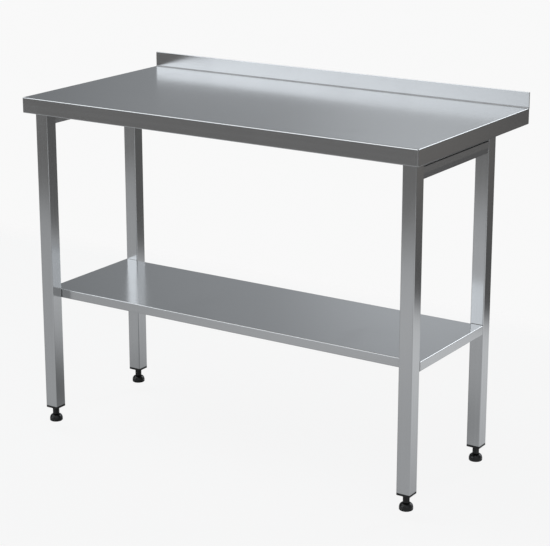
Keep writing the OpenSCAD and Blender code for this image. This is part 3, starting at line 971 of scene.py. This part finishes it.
def thread_tree():
    """Ridge of a right-hand thread round the seed's core."""
    tree, given, result = new_geometry_tree("spindle_thread", {
        "Middle": "Vector", "Radius": "Float", "Depth": "Float", "Pitch": "Float", "Turns": "Float",
        "Steps": "Int"})
    line = take(tree, "GeometryNodeMeshLine", {"Count": times(tree, given["Turns"], given["Steps"])})
    index = take(tree, "GeometryNodeInputIndex")
    turn = math_node(tree, "DIVIDE", index, given["Steps"])
    angle = times(tree, turn, FULL_TURN)
    reach = math_node(tree, "SUBTRACT", given["Radius"], given["Depth"])
    x = times(tree, math_node(tree, "COSINE", angle), reach)
    y = times(tree, math_node(tree, "SINE", angle), reach)
    z = times(tree, turn, given["Pitch"])
    spot = take(tree, "ShaderNodeCombineXYZ", {0: x, 1: y, 2: z})
    spot = vector_node(tree, "ADD", spot, given["Middle"])
    placed = take(tree, "GeometryNodeSetPosition", {"Geometry": line, "Position": spot})
    helix = take(tree, "GeometryNodeMeshToCurve", {"Mesh": placed})
    upright = take(tree, "GeometryNodeSetCurveNormal", {"Curve": helix}, mode="Z_UP")
    diamond = take(tree, "GeometryNodeCurvePrimitiveCircle", {"Resolution": 4, "Radius": given["Depth"]})
    sweep = {"Curve": upright, "Profile Curve": diamond, "Fill Caps": True}
    ridge = take(tree, "GeometryNodeCurveToMesh", sweep)
    both = put(tree, "GeometryNodeJoinGeometry", {0: ridge})
    fill(tree, both.inputs, {0: given["Geometry"]})
    return end_tree(tree, result, both.outputs[0], plated_steel)


spindle_thread = thread_tree()

# %% Spindles with their threads
PITCH = 0.0015
THREAD_DEPTH = 0.00062
THREAD_STEPS, SPINDLE_STEPS = 24, 48
THREAD_START = 0.004
TIP_CHAMFER = 0.001
# The core lies a little deeper than the ridge's middle
CORE_DEPTH = THREAD_DEPTH * 1.15


def spindle_core(corner, thread_from):
    """Ball end, plain neck and the core under the thread."""
    low, high, middle, ball = round_part("spindle_" + corner)
    stem = ball * SPINDLE_SHARE
    root = stem - CORE_DEPTH
    top_of_ball = math.degrees(math.acos(stem / ball))
    profile = arc((0, low.z + ball), ball, -89.5, top_of_ball, 14)
    profile += [(stem, thread_from), (root, thread_from + THREAD_DEPTH)]
    profile += [(root, high.z - TIP_CHAMFER), (root - TIP_CHAMFER, high.z)]
    return loft(turned_rings(middle, profile, SPINDLE_STEPS))


def threaded_spindle(corner):
    """Core and thread as one shape."""
    _, high, middle, ball = round_part("spindle_" + corner)
    thread_from = box_of("hub_" + corner)[1].z - THREAD_START
    length = high.z - TIP_CHAMFER - thread_from - PITCH
    sizes = {"Middle": (middle.x, middle.y, thread_from), "Radius": ball * SPINDLE_SHARE,
             "Depth": THREAD_DEPTH, "Pitch": PITCH, "Turns": float(math.floor(length / PITCH)),
             "Steps": THREAD_STEPS}
    core = mesh_of(spindle_core(corner, thread_from - PITCH), "spindle_core")
    return grown(core, spindle_thread, sizes)


for corner in CORNERS:
    add_piece(threaded_spindle(corner), "threaded_spindle_" + corner, plated_steel,
              "foot_screw_" + corner, ["spindle_" + corner])

# %% [markdown]
# ## Screws and bolts
# The screws under the worktop are all alike, so one is drawn and Geometry Nodes puts a copy at each
# place that the CAD gives, turned by a random angle, because nobody lines screws up. The heads have
# a six-lobed recess. The shelf's button-head bolts have a hexagon socket and lie along Y: the tree
# turns those at the rear round, so that every head is inside the shelf's edge.

# %% Fastener tree
def fastener_tree():
    """Copies of a drawn fastener at the seed's points."""
    tree, given, result = new_geometry_tree("fasteners", {
        "Fastener": "Object", "Spin": "Float", "Middle Y": "Float", "Turn Rear": "Float", "Seed": "Int"})
    drawn = put(tree, "GeometryNodeObjectInfo", {"Object": given["Fastener"], "As Instance": True})
    random = put(tree, "FunctionNodeRandomValue", {"Seed": given["Seed"]}, data_type="FLOAT")
    spin = times(tree, random.outputs[1], given["Spin"])
    where = take(tree, "GeometryNodeInputPosition")
    depth = put(tree, "ShaderNodeSeparateXYZ", {0: where}).outputs["Y"]
    rear = math_node(tree, "GREATER_THAN", depth, given["Middle Y"])
    about_z = plus(tree, times(tree, rear, given["Turn Rear"]), spin)
    turned = take(tree, "ShaderNodeCombineXYZ", {2: about_z})
    spots = {"Points": given["Geometry"], "Instance": drawn.outputs["Geometry"], "Rotation": turned}
    copies = take(tree, "GeometryNodeInstanceOnPoints", spots)
    return end_tree(tree, result, copies, plated_steel)


fasteners = fastener_tree()


def copies_at(points, shape, **values):
    """A drawn shape copied to each point by the fastener tree."""
    drawn = bpy.data.objects.new("drawn_fastener", mesh_of(shape, "drawn_fastener"))
    values = {name.replace("_", " "): value for name, value in values.items()}
    result = grown(path_mesh([[point] for point in points]), fasteners, {"Fastener": drawn, **values})
    bpy.data.objects.remove(drawn)
    return result


# %% Worktop screws
RECESS_STEPS = 48
ORIGIN = Vector((0, 0, 0))
# Shares of the head's radius: the recess and its lobes, and the head's rounding and height
RECESS, LOBE, HEAD_ROUNDING, PAN_HEIGHT = 0.36, 0.06, 0.45, 0.6
# The recess's depth as a share of the head's, its wall's as one of that, and its floor's width
RECESS_DEPTH, RECESS_WALL, RECESS_FLOOR = 0.62, 0.9, 0.7


def drawn_rings(profile, **shape):
    """Rings about the drawn fastener's own axis."""
    return turned_rings(ORIGIN, profile, RECESS_STEPS, **shape)


def pan_head_screw(height, head_radius, stem):
    """Screw standing on its head's flat top at z = 0, with a six-lobed recess, point upwards."""
    head_height = head_radius * PAN_HEIGHT
    recess, lobe, depth = head_radius * RECESS, head_radius * LOBE, head_height * RECESS_DEPTH
    rounding = head_radius * HEAD_ROUNDING
    rings = drawn_rings([(recess * RECESS_FLOOR, depth)], lobes=lobe * RECESS_FLOOR)
    rings += drawn_rings([(recess, depth * RECESS_WALL), (recess, 0)], lobes=lobe)
    rounded = arc((head_radius - rounding, rounding), rounding, 270, 360, 6)
    rings += drawn_rings([(r, min(z, head_height)) for r, z in rounded])
    rings += drawn_rings([(head_radius, head_height), (stem, head_height), (stem, height - stem),
                          (SMALLEST_RADIUS * 4, height)])
    return loft(rings)


screw_parts = parts_of("worktop_screws")
_, screw_low, screw_high = screw_parts[0]
screw_head = (screw_high.x - screw_low.x) / 2
drawn_screw = pan_head_screw(screw_high.z - screw_low.z, screw_head, screw_head / 2)
places = [(middle.x, middle.y, low.z) for middle, low, _ in screw_parts]
screws = copies_at(places, drawn_screw, Spin=FULL_TURN, Seed=7)
add_piece(screws, "worktop_pan_screws", plated_steel, "table", ["worktop_screws"])

# %% Shelf bolts
# Shares of the head's radius: the socket across its flats, and both the head's height and the stem
HEX_SOCKET, BUTTON_HEIGHT = 0.76, 0.571
# Depth of the socket's wall and of its drilled tip, as shares of the head's height
SOCKET_WALL, SOCKET_TIP = 0.6, 0.7
STEM_CHAMFER = 0.15
DOME_FROM, DOME_TO, DOME_STEPS = 62, 4, 8
# Far wider than any head, so that a socket's ring is a whole hexagon
WIDE = 1.0


def button_head_bolt(length, head_radius):
    """Bolt along Y, its domed head's top at y = 0 and its stem towards -Y, with a hexagon socket."""
    socket, head_height, stem = [head_radius * s for s in (HEX_SOCKET, BUTTON_HEIGHT, BUTTON_HEIGHT)]
    rings = drawn_rings([(SMALLEST_RADIUS * 4, -head_height * SOCKET_TIP)])
    rings += drawn_rings([(WIDE, -head_height * SOCKET_WALL), (WIDE, 0)], flats=socket)
    for step in range(DOME_STEPS + 1):
        angle = math.radians(DOME_FROM - (DOME_FROM - DOME_TO) * step / DOME_STEPS)
        rise = math.sin(angle) / math.sin(math.radians(DOME_FROM)) - 1
        rings += drawn_rings([(head_radius * math.cos(angle), head_height * rise)])
    rings += drawn_rings([(head_radius, -head_height), (stem, -head_height),
                          (stem, -length + stem * STEM_CHAMFER), (stem * (1 - STEM_CHAMFER), -length)])
    return loft([[(x, z, -y) for x, y, z in ring] for ring in rings])


bolt_parts = parts_of("shelf_bolts")
_, bolt_low, bolt_high = bolt_parts[0]
drawn_bolt = button_head_bolt(bolt_high.y - bolt_low.y, (bolt_high.x - bolt_low.x) / 2)
shelf_middle = (shelf_low.y + shelf_high.y) / 2
places = [(m.x, high.y if m.y < shelf_middle else low.y, m.z) for m, low, high in bolt_parts]
bolts = copies_at(places, drawn_bolt, Seed=3, Middle_Y=shelf_middle, Turn_Rear=math.pi)
add_piece(bolts, "shelf_button_bolts", plated_steel, "table", ["shelf_bolts"])

# %% [markdown]
# ## Welds
# Rails, bearers and channels are welded to the legs on the inside, where nobody sees the beads from
# the front. A bead follows a path along the joint. The tree cuts the path into short steps, lets the
# radius swell and shrink with the length along it, as each puddle of metal does, and sweeps a circle
# along it. Half of the circle is inside the parts that it joins.

# %% Weld tree
STEPS_A_RIPPLE = 4.0
WANDER_SCALE = 220.0


def weld_tree():
    """Rippled bead along each path of the seed."""
    tree, given, result = new_geometry_tree("weld_bead", {
        "Radius": "Float", "Ripple": "Float", "Swell": "Float", "Wander": "Float"})
    path = take(tree, "GeometryNodeMeshToCurve", {"Mesh": given["Geometry"]})
    step = math_node(tree, "DIVIDE", given["Ripple"], STEPS_A_RIPPLE)
    cut = take(tree, "GeometryNodeResampleCurve", {"Curve": path, "Length": step}, mode="LENGTH")
    along = put(tree, "GeometryNodeSplineParameter").outputs["Length"]
    phase = times(tree, math_node(tree, "DIVIDE", along, given["Ripple"]), FULL_TURN)
    radius = plus(tree, 1.0, times(tree, math_node(tree, "SINE", phase), given["Swell"]))
    where = take(tree, "GeometryNodeInputPosition")
    waves = put(tree, "ShaderNodeTexNoise", {"Vector": where, "Scale": WANDER_SCALE}).outputs["Color"]
    offset = vector_node(tree, "SUBTRACT", waves, (0.5, 0.5, 0.5))
    offset = vector_node(tree, "MULTIPLY", offset, given["Wander"])
    moved = take(tree, "GeometryNodeSetPosition", {"Geometry": cut, "Offset": offset})
    ring = take(tree, "GeometryNodeCurvePrimitiveCircle", {"Resolution": 8, "Radius": given["Radius"]})
    sweep = {"Curve": moved, "Scale": radius, "Profile Curve": ring, "Fill Caps": True}
    return end_tree(tree, result, take(tree, "GeometryNodeCurveToMesh", sweep), weld_steel)


weld_bead = weld_tree()

# %% Weld paths
BEAD = 0.0011
FRAME_STEEL = 0.0015
WELD_SIZES = {"Radius": BEAD, "Ripple": 0.0016, "Swell": 0.18, "Wander": 0.0003}


def frame_part(name, side):
    """Corners of a rail or bearer, the X of its open side and that of its web's inner face."""
    low, high = box_of(side + name)
    outer, inner = (high.x, low.x) if side == "right" else (low.x, high.x)
    return low, high, inner, outer + math.copysign(FRAME_STEEL, inner - outer)


def rail_weld(side, y):
    """Along the inside of a rail's flange and band, at one leg."""
    low, high, inner, band = frame_part("_rail", side)
    under = high.z - FRAME_STEEL
    return [(inner, y, under), (band, y, under), (band, y, low.z + 2 * BEAD)]


def bearer_weld(side, y):
    """Round the inside of a bearer, at one leg."""
    low, high, inner, web = frame_part("_bearer", side)
    bottom, top = low.z + FRAME_STEEL, high.z - FRAME_STEEL
    return [(inner, y, bottom), (web, y, bottom), (web, y, top), (inner, y, top)]


def channel_weld(name, side):
    """Down the outsides of a channel's end, where it meets a leg's inner face."""
    low, high = box_of(name)
    x = high.x if side == "right" else low.x
    return [[(x, y, low.z), (x, y, high.z - 2 * BEAD)] for y in (low.y, high.y)]


weld_paths = []
for side in ("left", "right"):
    for y in (box_of("leg_fl")[1].y, box_of("leg_bl")[0].y):
        weld_paths += [rail_weld(side, y), bearer_weld(side, y)]
    for name in ("front_channel", "rear_channel"):
        weld_paths += channel_weld(name, side)
beads = grown(path_mesh(weld_paths), weld_bead, WELD_SIZES)
add_piece(beads, "frame_welds", weld_steel, "table")

# %% [markdown]
# ## Spot welds
# The stiffener is held under the shelf by spot welds, which leave two rows of shallow round dents
# with a raised rim. One dimple is drawn as a low turned shape and copied along both flanges.

# %% Spot welds under the shelf
SPOT_RADIUS = 0.0030
SPOT_RISE = 0.00025
SPOTS_IN_A_ROW, SPOT_STEPS = 14, 24
FLANGE = 0.015


def spot_mark():
    """Low round mark with a raised rim and a dished middle, facing down."""
    section = [(0.05, 0.4), (1.0, 0.4), (1.0, 0.0), (0.92, -0.7), (0.80, -1.0), (0.66, -0.7),
               (0.50, -0.2), (0.05, -0.1)]
    return loft(turned_rings(ORIGIN, [(SPOT_RADIUS * r, SPOT_RISE * z) for r, z in section], SPOT_STEPS))


stiffener_low, stiffener_high = box_of("shelf_stiffener")
spot_z = stiffener_high.z - SHEET
step = (stiffener_high.x - stiffener_low.x) / SPOTS_IN_A_ROW
spots = [(stiffener_low.x + step * (k + 0.5), y, spot_z)
         for k in range(SPOTS_IN_A_ROW)
         for y in (stiffener_low.y + FLANGE / 2, stiffener_high.y - FLANGE / 2)]
marks = copies_at(spots, spot_mark(), Spin=FULL_TURN, Seed=5)
add_piece(marks, "shelf_spot_welds", channel_steel, "table")
